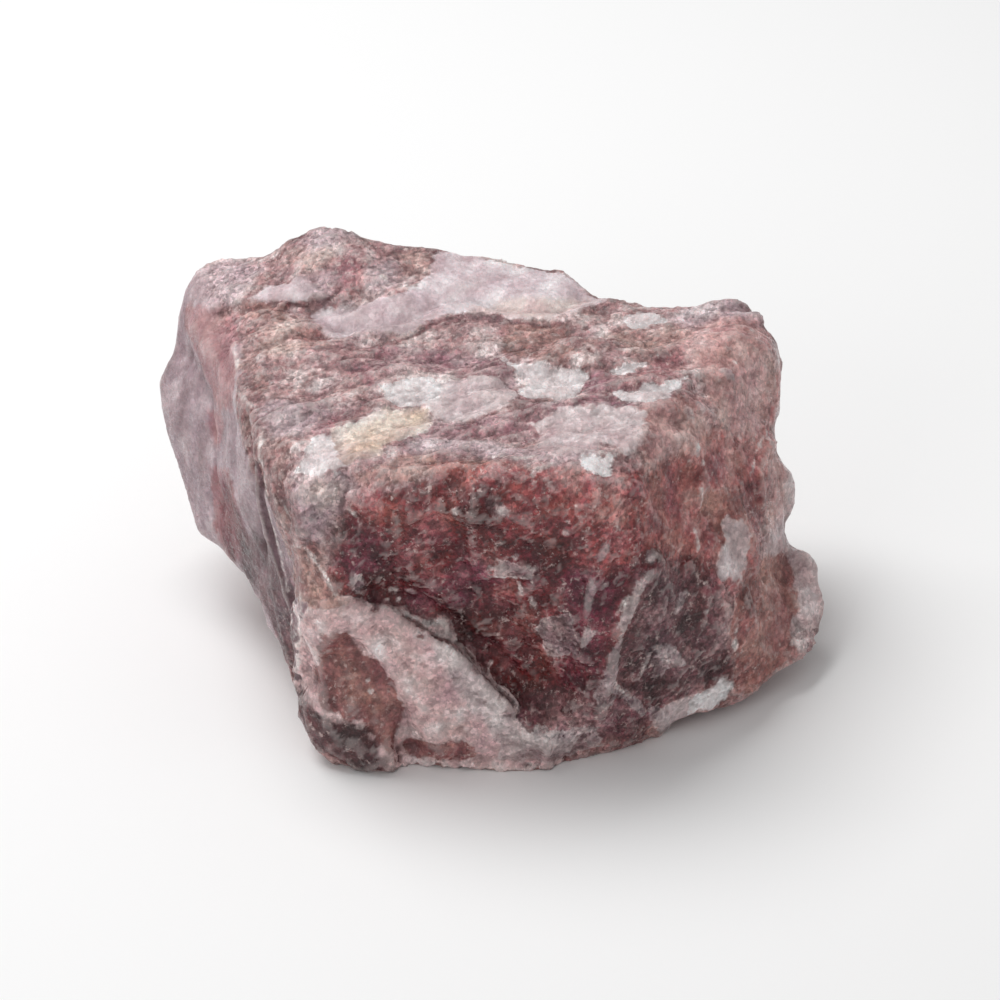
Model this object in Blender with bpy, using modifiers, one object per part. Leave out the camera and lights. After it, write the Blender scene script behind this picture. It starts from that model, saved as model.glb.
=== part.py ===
"""Strawberry quartz: one rough, broken hand specimen, made as a single solid.

Units are metres, +Z is up and the stone rests on z = 0, on a flat cut before the relief. +X is to the
right of someone who faces the broad dark face, and -Y points from the stone to that person.
The block is joined from convex lumps whose corners are the stone's broken corners, and a hollow is
cut in the front. A voxel remesh then takes the relief: broad lumps, flake scars, the ledges of the
sheets that the quartz grew in, splinters and grooves.
"""

import math
import random

import bmesh
import bpy
import numpy as np
from mathutils import Matrix, Vector, noise
from mathutils.bvhtree import BVHTree

MM = 0.001
STONE = "strawberry_quartz"
ROSE = (0.258, 0.162, 0.162, 1.0)  # dusky rose, the stone's colour on the whole, linear
POLISH = 0.5  # roughness of broken quartz

# Driving dimensions, in millimetres where the name says so.
VOXEL_MM = 0.62  # grid of the remesh that the relief is carved on
SOFTENING = 5  # smoothing passes that round the lumps' corners
WORN = 0.5  # and how far each pass moves a vertex towards its neighbours
LOOSENED = 0.3  # the same for the one pass after the relief
TRIANGLES = 9900  # what is kept of the even grid
FLOOR_MM = 0.0  # level in the corners' frame at which the flat that it rests on is cut
FLAT_MM = 0.12  # what lies this near the floor's level is part of that flat

SWELL_SIZE_MM = (15.0, 6.0)  # the broad lumps, then the small ones
SWELL_MM = (0.8, 0.4)  # and their heights
GRAIN_SIZE_MM = 2.3
GRAIN_MM = 0.12

# Quartz grains and iron-oxide flakes lie in sheets. This is the sheets' normal: they stand nearly
# upright and run from the front left to the back right, so their edges streak the top and the ends.
SHEET_NORMAL = Vector((-0.45, 0.87, -0.10)).normalized()
LEDGE_SIZE_MM = 13.0  # length of a ledge along its sheet
LEDGE_SQUASH = 3.2  # how much closer the ledges come across the sheets than along them
LEDGE_STEP = 0.3  # part of the noise between one tread and the next
LEDGE_RISER = (0.32, 0.68)  # where between two treads the riser starts and ends
LEDGE_DEPTH_MM = 0.32
SMOOTH_PARTS = 0.8  # how much of the ledges and the grain the smooth faces lose

# Where the surface is smooth: the left end, and the back of the top this far left.
SLANT_LEFT, SLANT_BACK = 0.28, 0.12  # how far each border turns from square to the stone
SMOOTH_LEFT_MM = (-26.0, -31.0)
SMOOTH_BACK_MM = (17.5, 20.0)
SMOOTH_HEIGHT_MM = (33.0, 36.0)
SMOOTH_END_MM = (14.0, 9.0)

# The outline of a broken sheet: how ragged, at what size, how wide its step is, and how far the
# surface may turn away before the sheet ends.
RAGGED = 0.25
RAGGED_SIZE_MM = 3.5
SHEET_EDGE = (1.0, 0.86)
SHEET_TURN = (0.35, 0.6)

# Chips struck off the back and the underside, which the named chips leave plain.
SCATTERED_CHIPS = 220
CHIPPED_BACK = 0.55  # how squarely a spot faces the back to be chipped there
CHIPPED_UNDER = -0.5  # and how far it faces down to be chipped underneath
SKYLINE_MM = 30.0  # no chip at the back starts above this
CHIP_RADIUS_MM = (12.0, 45.0)
CHIP_DEPTH_MM = (0.3, 0.8)
CHIP_LEAN = 0.12  # how far a chip's facing strays from the surface's
CHIP_REACH = 1.25  # how far out a chip still cuts, in its own half widths
FACING_REACH_MM = 3.5  # how much of the surface is averaged for its facing

# Corners of the lumps in millimetres. The block comes first, and the others stand out of it.
LUMPS = {
    "block": [
        (-28.4, -10.6, 37.2), (-26.6, -9.0, 38.7), (-23.8, -20.8, 35.4), (-20.8, -18.6, 38.4),
        (-3.4, -23.8, 35.6), (-3.0, -20.0, 39.4), (12.4, -23.0, 35.2), (10.0, -19.4, 38.8),
        (20.0, -10.0, 35.4), (17.0, -7.4, 38.6), (27.4, 7.0, 34.8), (24.2, 9.0, 37.5),
        (33.2, 22.4, 33.0), (31.2, 23.4, 35.0), (31.2, 29.4, 33.2),
        (14.0, 27.8, 36.0), (-30.0, 21.0, 38.0), (-38.8, 27.0, 34.4), (-39.6, 28.6, 30.0),
        (-19.4, -22.0, 0.6), (-11.8, -22.2, -1.6), (4.7, -23.4, -1.6), (16.0, -17.4, 2.2),
        (29.7, -12.0, 1.3), (35.9, -5.1, 3.8), (35.6, 8.6, 13.5), (32.8, 18.0, 22.0),
        (33.0, 26.0, 10.0), (22.0, 27.0, -1.4), (0.0, 30.0, -1.6), (-16.0, 26.0, -1.4),
        (-28.0, 24.0, 5.0), (-32.4, 9.6, 6.2), (-25.6, 0.5, 12.2), (-37.5, 15.4, 9.8),
        (-39.4, 28.0, 18.0),
    ],
    "back_sheet": [
        (-22.0, 35.0, 41.0), (-16.0, 36.2, 40.3), (-11.5, 36.4, 39.0), (-6.3, 36.3, 39.2),
        (-2.4, 36.0, 38.8), (1.2, 34.6, 37.1), (4.0, 34.0, 37.0), (7.9, 34.0, 37.9),
        (8.8, 30.2, 35.7), (14.0, 26.8, 35.6), (10.0, 19.0, 36.8), (-8.0, 16.0, 37.4),
        (-22.0, 16.0, 37.6), (-30.0, 30.0, 38.6), (6.0, 33.0, 8.0), (-14.0, 35.5, 6.0),
        (-30.0, 33.5, 9.0), (12.0, 28.0, 6.0),
    ],
    "left_sheet": [
        (-29.0, 35.8, 38.8), (-33.2, 36.0, 38.8), (-35.4, 35.6, 38.5), (-38.7, 33.6, 37.9),
        (-39.9, 31.0, 36.1), (-40.6, 29.6, 33.0), (-36.0, 23.6, 37.0), (-31.0, 22.2, 38.7),
        (-24.0, 22.4, 38.8), (-24.0, 34.0, 39.4), (-30.0, 33.5, 10.0), (-38.0, 32.0, 14.0),
        (-41.0, 28.0, 22.0), (-24.0, 30.0, 20.0),
    ],
    "peak": [
        (-22.4, 36.4, 42.9), (-26.4, 35.8, 41.1), (-29.6, 35.0, 38.9), (-19.6, 36.4, 42.3),
        (-27.0, 22.4, 38.8), (-18.6, 22.4, 39.2), (-15.0, 26.0, 39.5), (-15.0, 35.4, 40.2),
        (-14.0, 35.0, 30.0), (-28.0, 33.0, 28.0), (-24.0, 28.0, 30.0),
    ],
    "left_lobe": [
        (-43.2, 27.4, 24.8), (-41.0, 27.6, 28.4), (-39.2, 28.0, 31.6), (-39.8, 25.0, 18.0),
        (-40.0, 20.6, 13.0), (-38.2, 14.4, 9.0), (-36.0, 14.0, 27.0), (-34.6, 7.0, 16.0),
        (-31.0, 12.0, 8.0), (-36.0, 34.0, 24.0), (-30.0, 28.0, 12.0), (-28.0, 24.0, 30.0),
    ],
    "right_upper_lobe": [
        (34.8, 25.6, 31.6), (35.7, 25.0, 28.6), (35.8, 20.6, 25.2), (34.0, 18.0, 24.2),
        (33.4, 24.0, 34.0), (31.0, 12.0, 28.0), (30.0, 29.0, 27.0), (28.0, 20.0, 22.0),
    ],
    "right_middle_lobe": [
        (33.8, 16.6, 21.0), (36.2, 14.0, 19.8), (36.7, 12.0, 17.2), (36.3, 9.8, 14.8),
        (34.6, 11.0, 21.4), (33.6, 6.6, 17.0), (30.0, 12.0, 14.0), (30.0, 24.0, 18.0),
    ],
    "right_lower_lobe": [
        (37.7, 8.0, 12.9), (39.2, 6.0, 11.2), (40.4, 3.8, 7.6), (40.4, 1.8, 4.4),
        (38.6, -2.4, 3.5), (36.1, -6.0, 4.0), (34.4, -2.4, 11.0), (31.0, 4.0, 14.0),
        (30.0, 16.0, 6.0),
    ],
    "back_right_knob": [
        (25.8, 29.2, 35.1), (30.0, 29.8, 35.1), (33.0, 26.0, 34.6), (24.0, 24.0, 36.0),
        (28.0, 28.0, 24.0), (31.0, 22.0, 33.0),
    ],
}

# What lies in front of the block once the hollow is cut: the plate at the lower left, whose
# broken upper edge is given first, and the foot under it.
PLATES = {
    "plate": [
        (-23.4, -18.8, 29.2), (-18.2, -21.4, 21.8), (-13.9, -22.0, 21.0), (-8.7, -22.4, 18.6),
        (-5.8, -22.6, 16.4), (-3.2, -22.8, 13.8), (-0.8, -23.2, 11.2), (2.4, -23.6, 8.0),
        (6.0, -24.4, 4.4), (6.8, -23.8, -1.4), (-2.4, -24.0, -1.4), (-8.0, -23.0, 1.2),
        (-25.2, -10.5, 10.5), (-24.0, -16.4, 7.0), (-23.8, -17.6, 14.0), (-25.8, -13.0, 22.0),
        (-12.0, -12.0, 20.0), (6.0, -14.0, 4.0), (-22.0, -18.0, 4.0),
    ],
    "foot": [
        (-23.8, -19.2, 5.2), (-23.2, -20.6, 9.0), (-21.8, -21.8, 1.4), (-19.5, -22.2, -0.6),
        (-14.4, -23.8, -1.4), (-12.2, -23.8, -1.2), (-12.4, -24.6, 4.0), (-18.0, -23.8, 8.0),
        (-10.0, -16.0, -0.6), (-20.0, -14.0, -0.6), (-23.8, -14.0, 5.0), (-15.0, -18.0, 12.0),
    ],
}

# Hollows cut out of the block, as corners of the convex space that is taken away.
HOLLOWS = {
    "front": [
        (-24.0, -32.0, 37.0), (16.0, -32.0, 37.0), (18.0, -32.0, 2.0), (-24.0, -32.0, 2.0),
        (-19.0, -22.7, 31.0), (-8.0, -22.7, 34.5), (6.0, -22.6, 34.0), (13.0, -22.8, 27.0),
        (-14.0, -20.6, 22.0), (-8.0, -19.8, 17.5), (-1.0, -19.6, 12.5), (4.0, -20.0, 15.0),
        (7.0, -20.6, 9.0), (11.0, -22.2, 12.0), (9.0, -22.8, 6.0),
    ],
    "under_left": [
        (-60.0, -30.0, -12.0), (-60.0, 50.0, -12.0), (-60.0, -30.0, 14.0), (-60.0, 50.0, 12.0),
        (-23.0, -10.0, -12.0), (-23.0, 30.0, -12.0), (-25.4, -10.0, 6.0), (-28.2, 0.5, 8.4),
        (-31.2, 11.0, 4.6), (-30.0, 20.0, 4.2),
    ],
    "under_back": [
        (-60.0, 60.0, -12.0), (60.0, 60.0, -12.0), (-60.0, 60.0, 16.0), (60.0, 60.0, 16.0),
        (-30.0, 27.0, -12.0), (36.0, 22.0, -12.0), (-20.0, 31.0, 4.0), (20.0, 27.0, 4.0),
    ],
    "under_right": [
        (60.0, -20.0, -12.0), (60.0, 50.0, -12.0), (60.0, -20.0, 5.0), (60.0, 50.0, 14.0),
        (24.0, -4.0, -12.0), (26.0, 26.0, -12.0), (29.0, 2.0, 1.6), (29.0, 22.0, 3.6),
    ],
}

# All that is taken off the underside, down from the level it rests on.
GROUND = [(x, y, z) for x in (-60.0, 60.0) for y in (-60.0, 60.0) for z in (-12.0, FLOOR_MM)]

# Ribs and grooves laid on the surface: half width, height (negative sinks), path in millimetres.
STROKES = {
    "left_splinter": (0.9, 0.7, [
        (-32.0, 14.0, 37.0), (-30.0, -0.5, 37.0), (-27.5, -10.5, 37.5), (-27.5, -12.0, 33.0),
        (-27.0, -11.0, 25.5), (-25.5, -13.5, 19.0), (-24.0, -17.0, 16.5), (-24.0, -17.0, 7.0)]),
    "left_groove": (0.9, -1.1, [
        (-30.0, -3.0, 36.5), (-29.0, -8.0, 35.0), (-28.5, -9.5, 31.0), (-28.0, -9.0, 26.0),
        (-28.0, -7.5, 21.0)]),
    "inner_splinter": (0.9, 0.6, [
        (-27.5, -8.0, 38.0), (-26.0, -15.0, 35.0), (-24.5, -17.5, 29.0), (-23.5, -18.5, 22.0),
        (-23.5, -18.0, 15.0)]),
    "lobe_edge": (1.3, -0.7, [
        (-40.0, 26.0, 30.0), (-37.0, 20.0, 30.5), (-36.0, 15.5, 28.5), (-35.0, 11.0, 24.0),
        (-34.5, 8.0, 18.5)]),
    "left_band": (1.8, -0.5, [(-34.0, 19.5, 36.0), (-33.0, 7.0, 36.0), (-32.0, 1.0, 32.5)]),
    "front_fold": (1.3, 1.2, [
        (18.0, -19.0, 26.5), (15.5, -21.0, 22.5), (13.0, -22.0, 17.5), (12.5, -22.0, 12.0),
        (12.0, -22.0, 7.0)]),
    "front_chip": (0.9, 0.8, [
        (-1.5, -20.0, 26.0), (0.5, -20.5, 27.5), (2.5, -20.5, 27.5), (4.0, -20.0, 26.0),
        (3.0, -19.5, 24.0), (3.5, -19.0, 21.0)]),
    "rib_right_high": (0.8, 0.6, [(24.0, -6.0, 30.0), (23.5, -9.5, 27.5)]),
    "rib_right_low": (0.8, 0.6, [(23.5, -11.0, 26.0), (23.0, -14.0, 23.0)]),
    "rib_front_high": (1.1, 0.6, [(11.0, -21.5, 26.5), (9.5, -20.5, 20.5)]),
    "rib_front_low": (0.9, 0.6, [(10.5, -21.0, 19.0), (9.5, -20.5, 15.0)]),
    "right_lobe_edge": (0.9, 0.8, [
        (34.0, 13.5, 24.0), (32.0, 9.0, 25.5), (30.5, 4.5, 25.0), (30.5, 2.5, 23.5),
        (31.0, 2.0, 21.5)]),
    "ledge_line": (1.1, -0.7, [
        (-31.5, 22.0, 38.0), (-24.5, 21.0, 38.5), (-19.0, 21.0, 38.5), (-16.5, 24.0, 39.5)]),
    "lip": (1.2, 0.5, [
        (-21.5, 16.0, 38.0), (-18.0, 14.0, 38.0), (-12.0, 14.5, 38.0), (-10.0, 18.0, 38.0),
        (-6.5, 21.0, 38.0), (-3.5, 22.0, 38.0), (0.0, 20.5, 37.5), (3.5, 20.0, 37.5),
        (7.5, 20.5, 37.0), (11.0, 25.0, 36.5), (14.5, 27.0, 36.0)]),
    "behind_lip": (1.7, -0.8, [
        (-22.0, 19.0, 38.0), (-18.5, 17.0, 38.0), (-12.0, 18.0, 38.0), (-10.0, 20.5, 38.0),
        (-7.0, 23.5, 38.5), (-3.5, 24.5, 38.5), (0.0, 23.0, 38.0), (3.5, 22.5, 37.5),
        (7.5, 23.0, 37.5), (10.5, 27.0, 37.0)]),
    "pit": (1.4, -0.9, [(-24.0, 15.0, 38.0), (-22.0, 15.0, 38.0)]),
    "right_notch": (1.5, -0.9, [(33.5, 21.0, 23.0), (34.0, 16.5, 22.4)]),
    "plate_rim": (0.8, 0.6, [
        (-18.2, -21.4, 21.8), (-13.9, -22.0, 21.0), (-8.7, -22.4, 18.6), (-5.8, -22.6, 16.4),
        (-3.2, -22.8, 13.8), (-0.8, -23.2, 11.2), (2.4, -23.6, 8.0)]),
    "above_plate": (0.9, -0.8, [
        (-14.0, -20.8, 23.4), (-9.0, -20.6, 21.0), (-5.0, -20.4, 18.4), (-2.0, -20.4, 15.4),
        (0.8, -20.8, 12.8), (4.0, -21.4, 9.4), (7.0, -22.0, 6.0)]),
    "foot_dent": (1.7, -1.0, [(-9.0, -23.0, 1.2), (-5.5, -23.4, 0.6)]),
    "foot_notch": (1.8, -1.9, [(-12.0, -23.0, 8.0), (-11.0, -23.5, 4.5), (-10.5, -23.5, 0.5)]),
    "oval_edge": (0.7, 0.5, [
        (26.0, -10.0, 21.0), (26.5, -10.5, 19.0), (28.0, -9.0, 17.5), (29.5, -6.5, 17.0)]),
}

# Sheets broken off flat: middle, turn of the long way in degrees, half length and width, depth.
SHEETS = {
    "cream": ((-16.0, -13.5, 39.0), 8.0, (9.5, 5.0), 0.45),
    "white_middle": ((-6.0, -2.5, 38.5), 0.0, (8.5, 3.4), 0.45),
    "white_right": ((5.5, 2.5, 38.5), 0.0, (6.5, 4.6), 0.55),
    "grey_right": ((11.0, -10.5, 39.0), 0.0, (7.0, 5.2), 0.45),
    "lens": ((18.5, 1.0, 38.0), -10.0, (4.6, 1.8), 0.5),
    "brown": ((-16.5, -22.5, 11.0), 20.0, (8.0, 4.4), 0.6),
    "beige": ((-21.5, -21.5, 26.5), 0.0, (4.5, 2.4), 0.4),
    "oval": ((27.5, -7.0, 21.0), 0.0, (4.4, 1.8), 0.3),
    "right_brown": ((33.0, -4.5, 11.0), 0.0, (6.5, 5.0), 0.5),
    "pale_bottom": ((23.0, -16.0, 4.0), 60.0, (5.0, 2.0), 0.4),
    "disc": ((6.5, -19.0, 16.0), 0.0, (2.4, 2.4), 0.3),
    "front_left": ((-19.5, -21.5, 33.0), 0.0, (4.0, 3.0), 0.4),
    "front_middle": ((-7.0, -20.5, 29.0), 0.0, (6.0, 4.0), 0.4),
}

# Shell-shaped scars of struck-off chips: middle, radius of the hollow, depth.
CHIPS = {
    "lower_left": ((-27.0, -7.5, 12.0), 60.0, 0.4),
    "left_middle": ((-33.5, 4.5, 20.5), 60.0, 0.4),
    "right_middle": ((21.0, -12.0, 30.5), 40.0, 0.5),
    "right_low": ((22.0, -17.0, 14.5), 30.0, 0.7),
    "top_back_right": ((22.0, 12.0, 36.5), 50.0, 0.4),
}


def clear_scene():
    for old in list(bpy.data.objects):
        bpy.data.objects.remove(old)


def hull(name, corners, collection):
    """A convex lump with these corners, in millimetres."""
    shape = bmesh.new()
    for corner in corners:
        shape.verts.new(Vector(corner) * MM)
    made = bmesh.ops.convex_hull(shape, input=shape.verts)
    inner = [v for v in {*made["geom_interior"], *made["geom_unused"]}
             if isinstance(v, bmesh.types.BMVert)]
    bmesh.ops.delete(shape, geom=inner, context="VERTS")
    mesh = bpy.data.meshes.new(name)
    shape.to_mesh(mesh)
    shape.free()
    lump = bpy.data.objects.new(name, mesh)
    collection.objects.link(lump)
    return lump


def combine(stone, tool, operation):
    step = stone.modifiers.new(operation + "_" + tool.name, "BOOLEAN")
    step.operation = operation
    step.solver = "EXACT"
    step.object = tool
    tool.hide_render = True
    tool.display_type = "WIRE"


def apply_modifiers(stone):
    seen = stone.evaluated_get(bpy.context.evaluated_depsgraph_get())
    plain = bpy.data.meshes.new_from_object(seen)
    stone.modifiers.clear()
    stone.data = plain


def read_points(mesh):
    """Every vertex's place in millimetres, and its normal."""
    points = np.empty(len(mesh.vertices) * 3)
    normals = np.empty(len(mesh.vertices) * 3)
    mesh.vertices.foreach_get("co", points)
    mesh.vertices.foreach_get("normal", normals)
    return points.reshape(-1, 3) / MM, normals.reshape(-1, 3)


def write_points(mesh, points):
    """Moves the vertices there, but leaves the flat underneath as it is and nothing below it."""
    before = read_points(mesh)[0]
    points[:, 2] = np.maximum(points[:, 2], FLOOR_MM)
    on_flat = before[:, 2] < FLOOR_MM + FLAT_MM
    points[on_flat] = before[on_flat]
    mesh.vertices.foreach_set("co", (points * MM).ravel())
    mesh.update()


def field(points, size, seed, octaves=2, squash=1.0):
    """Smooth noise of this grain size in millimetres, about -1 to 1, thinner across the sheets."""
    sheets = np.array(SHEET_NORMAL)
    places = points + ((squash - 1.0) * (points @ sheets))[:, None] * sheets
    shift = seed * Vector((17.3, 5.1, 11.7))
    return np.array([noise.fractal(Vector(p) / size + shift, 1.0, 2.0, octaves)
                     for p in places])


def smoothstep(value, low, high):
    part = np.clip((value - low) / (high - low), 0.0, 1.0)
    return part * part * (3.0 - 2.0 * part)


def swell(mesh):
    """Broad, low lumps, and smaller ones on them."""
    points, normals = read_points(mesh)
    push = sum(height * field(points, size, seed)
               for seed, (size, height) in enumerate(zip(SWELL_SIZE_MM, SWELL_MM), start=1))
    write_points(mesh, points + normals * push[:, None])


def nearest(points, place):
    return points[np.argmin(np.linalg.norm(points - np.array(place), axis=1))]


def facing_at(points, normals, middle, reach):
    """Which way the surface faces round this point, on the whole."""
    near = np.linalg.norm(points - middle, axis=1) < reach
    mean = normals[near].mean(axis=0)
    return mean / np.linalg.norm(mean)


def break_sheet(points, normals, middle, turn, reach, depth):
    """Takes what stands above a plane off a ragged oval, whose edge is left as a low step."""
    middle = nearest(points, middle)
    facing = facing_at(points, normals, middle, reach[1])
    line = Vector(facing).cross(SHEET_NORMAL).normalized()
    along = np.array(Matrix.Rotation(math.radians(turn), 3, facing) @ line)
    offset = points - middle
    height = offset @ facing
    flat = offset - height[:, None] * facing
    lengthwise = flat @ along
    across = np.linalg.norm(flat - lengthwise[:, None] * along, axis=1)
    ragged = 1.0 + RAGGED * field(points, RAGGED_SIZE_MM, 5, 1)
    away = np.hypot(lengthwise / reach[0], across / reach[1]) * ragged
    inside = smoothstep(away, *SHEET_EDGE) * smoothstep(normals @ facing, *SHEET_TURN)
    drop = np.clip(height + depth, 0.0, 2.0 * depth) * inside
    return points - facing * drop[:, None]


def chip_off(points, facing, middle, radius, depth):
    """Presses a ball into the surface, which leaves a shallow round scar with a crisp rim."""
    spoke = points - (middle + facing * (radius - depth))
    length = np.linalg.norm(spoke, axis=1)
    half_width = math.sqrt(2.0 * radius * depth)
    near = np.linalg.norm(points - middle, axis=1) < CHIP_REACH * half_width
    push = np.clip(radius - length, 0.0, CHIP_REACH * depth) * near
    return points + spoke / length[:, None] * push[:, None]


def flake(mesh):
    """Broken sheets and chip scars: the named ones, then scattered chips where none is named."""
    points, normals = read_points(mesh)
    for middle, turn, reach, depth in SHEETS.values():
        points = break_sheet(points, normals, middle, turn, reach, depth)
    for middle, radius, depth in CHIPS.values():
        spot = nearest(points, middle)
        facing = facing_at(points, normals, spot, FACING_REACH_MM)
        points = chip_off(points, facing, spot, radius, depth)
    dice = random.Random(41)
    for _ in range(SCATTERED_CHIPS):
        pick = dice.randrange(len(points))
        at_the_back = normals[pick][1] > CHIPPED_BACK and points[pick][2] < SKYLINE_MM
        if not (at_the_back or normals[pick][2] < CHIPPED_UNDER):
            continue
        facing = facing_at(points, normals, points[pick], FACING_REACH_MM)
        facing = facing + np.array([dice.gauss(0.0, CHIP_LEAN) for _ in range(3)])
        facing /= np.linalg.norm(facing)
        points = chip_off(points, facing, points[pick], dice.uniform(*CHIP_RADIUS_MM),
                          dice.uniform(*CHIP_DEPTH_MM))
    write_points(mesh, points)


def coarseness(points):
    """How grainy the surface is here, 0 to 1: the left end and the back of the top are smooth."""
    left_end = smoothstep(points[:, 0] + SLANT_LEFT * points[:, 1], *SMOOTH_LEFT_MM)
    top_back = (smoothstep(points[:, 1] + SLANT_BACK * points[:, 0], *SMOOTH_BACK_MM)
                * smoothstep(points[:, 2], *SMOOTH_HEIGHT_MM)
                * smoothstep(points[:, 0], *SMOOTH_END_MM))
    return 1.0 - SMOOTH_PARTS * np.maximum(left_end, top_back)


def foliate(mesh):
    """Ledges where the sheets end at the surface: a squashed noise, cut to a few levels."""
    points, normals = read_points(mesh)
    level = field(points, LEDGE_SIZE_MM, 7, 2, LEDGE_SQUASH) / LEDGE_STEP
    tread = np.floor(level) + smoothstep(level - np.floor(level), *LEDGE_RISER)
    push = LEDGE_DEPTH_MM * tread * coarseness(points)
    write_points(mesh, points + normals * push[:, None])


def lay(path, tree):
    """Points along a path of straight runs, each brought onto the surface."""
    knots = []
    for start, end in zip(path, path[1:]):
        run = Vector(end) - Vector(start)
        steps = max(2, int(run.length / VOXEL_MM))
        knots += [tree.find_nearest(Vector(start) + run * (step / steps))[0]
                  for step in range(steps + 1)]
    return knots


def carve(mesh):
    """Ribs, splinters and grooves, each laid on the surface where it runs."""
    points, normals = read_points(mesh)
    tree = BVHTree.FromPolygons([tuple(p) for p in points],
                                [tuple(face.vertices) for face in mesh.polygons])
    push = np.zeros(len(points))
    for half_width, height, path in STROKES.values():
        near = np.zeros(len(points))
        for knot in lay(path, tree):
            away = np.linalg.norm(points - np.array(knot), axis=1)
            near = np.maximum(near, np.exp(-(away / half_width) ** 2))
        push += near * height
    write_points(mesh, points + normals * push[:, None])


def roughen(mesh):
    points, normals = read_points(mesh)
    push = GRAIN_MM * field(points, GRAIN_SIZE_MM, 12) * coarseness(points)
    write_points(mesh, points + normals * push[:, None])


def remesh(stone):
    """An even grid over the joined lumps, with their corners worn round."""
    grid = stone.modifiers.new("grid", "REMESH")
    grid.mode = "VOXEL"
    grid.voxel_size = VOXEL_MM * MM
    worn = stone.modifiers.new("worn", "SMOOTH")
    worn.factor = WORN
    worn.iterations = SOFTENING
    apply_modifiers(stone)


def thin_out(stone):
    """Loosens pinched steps, then keeps the triangles that carry the shape."""
    loose = stone.modifiers.new("loose", "SMOOTH")
    loose.factor = LOOSENED
    loose.iterations = 1
    stone.data.calc_loop_triangles()
    few = stone.modifiers.new("few", "DECIMATE")
    few.ratio = TRIANGLES / len(stone.data.loop_triangles)
    apply_modifiers(stone)


def settle(stone):
    """Plain triangles, standing on z = 0 over the middle of the stone's own outline."""
    shape = bmesh.new()
    shape.from_mesh(stone.data)
    bmesh.ops.triangulate(shape, faces=shape.faces)
    for corner in shape.verts:
        if corner.co.z < (FLOOR_MM + FLAT_MM) * MM:
            corner.co.z = FLOOR_MM * MM
    places = np.array([v.co for v in shape.verts])
    low, high = places.min(axis=0), places.max(axis=0)
    foot = Vector(((low[0] + high[0]) / 2, (low[1] + high[1]) / 2, low[2]))
    bmesh.ops.translate(shape, verts=shape.verts, vec=-foot)
    shape.to_mesh(stone.data)
    shape.free()


def broken_quartz():
    material = bpy.data.materials.new("broken_quartz")
    material.use_nodes = True
    shader = material.node_tree.nodes["Principled BSDF"]
    shader.inputs["Base Color"].default_value = ROSE
    shader.inputs["Roughness"].default_value = POLISH
    return material


def main():
    clear_scene()
    home = bpy.data.collections.new(STONE)
    cutters = bpy.data.collections.new("cutters")
    for collection in (home, cutters):
        bpy.context.scene.collection.children.link(collection)

    lumps = iter(LUMPS.items())
    stone = hull(STONE, next(lumps)[1], home)
    for name, corners in lumps:
        combine(stone, hull(name, corners, cutters), "UNION")
    for name, corners in HOLLOWS.items():
        combine(stone, hull(name, corners, cutters), "DIFFERENCE")
    for name, corners in PLATES.items():
        combine(stone, hull(name, corners, cutters), "UNION")
    combine(stone, hull("ground", GROUND, cutters), "DIFFERENCE")
    apply_modifiers(stone)

    remesh(stone)
    swell(stone.data)
    flake(stone.data)
    foliate(stone.data)
    carve(stone.data)
    roughen(stone.data)
    thin_out(stone)
    settle(stone)
    stone.data.materials.clear()
    stone.data.materials.append(broken_quartz())


main()
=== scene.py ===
"""Strawberry quartz: the looks of one rough, broken hand specimen, resting on a pale floor.

Metres and +Z up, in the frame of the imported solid. The broad dark face looks along -Y.
"""

import math

import bmesh
import bpy
import numpy as np
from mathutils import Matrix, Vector, noise
from mathutils.bvhtree import BVHTree
from mathutils.kdtree import KDTree


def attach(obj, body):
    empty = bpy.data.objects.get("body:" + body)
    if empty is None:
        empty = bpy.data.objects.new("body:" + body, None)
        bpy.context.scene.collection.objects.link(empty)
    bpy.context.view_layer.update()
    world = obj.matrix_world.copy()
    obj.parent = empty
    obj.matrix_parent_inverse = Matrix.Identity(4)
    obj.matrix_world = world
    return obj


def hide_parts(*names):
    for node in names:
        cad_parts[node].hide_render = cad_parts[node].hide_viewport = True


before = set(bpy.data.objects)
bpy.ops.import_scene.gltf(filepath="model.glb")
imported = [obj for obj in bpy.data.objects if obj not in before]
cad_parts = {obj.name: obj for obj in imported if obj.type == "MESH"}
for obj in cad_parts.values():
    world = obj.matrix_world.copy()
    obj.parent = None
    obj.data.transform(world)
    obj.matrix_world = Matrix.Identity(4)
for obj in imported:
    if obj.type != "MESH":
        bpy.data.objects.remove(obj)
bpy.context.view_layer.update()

# ---- The stone's body
# One piece of quartz crowded with red iron-oxide flakes, broken from a vein by hammer. It grew in
# thin sheets, so it breaks in ledges along them and in small tilted facets across them.

MM = 0.001
STONE = "strawberry_quartz"
GRID_MM = 0.45  # mesh spacing that the fine relief needs
MERGE_M = 1e-7  # corners of the solid's loose triangles that are this near are one corner
SHEET_NORMAL = Vector((-0.45, 0.87, -0.10)).normalized()  # square to the sheets it grew in


def add(tree, kind, inputs=None, **settings):
    """A new node in a tree, with its settings, and its inputs given as values or linked sockets."""
    made = tree.nodes.new(kind)
    for name, value in settings.items():
        setattr(made, name, value)
    for name, value in (inputs or {}).items():
        if isinstance(value, bpy.types.NodeSocket):
            tree.links.new(value, made.inputs[name])
        else:
            made.inputs[name].default_value = value
    return made


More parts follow.
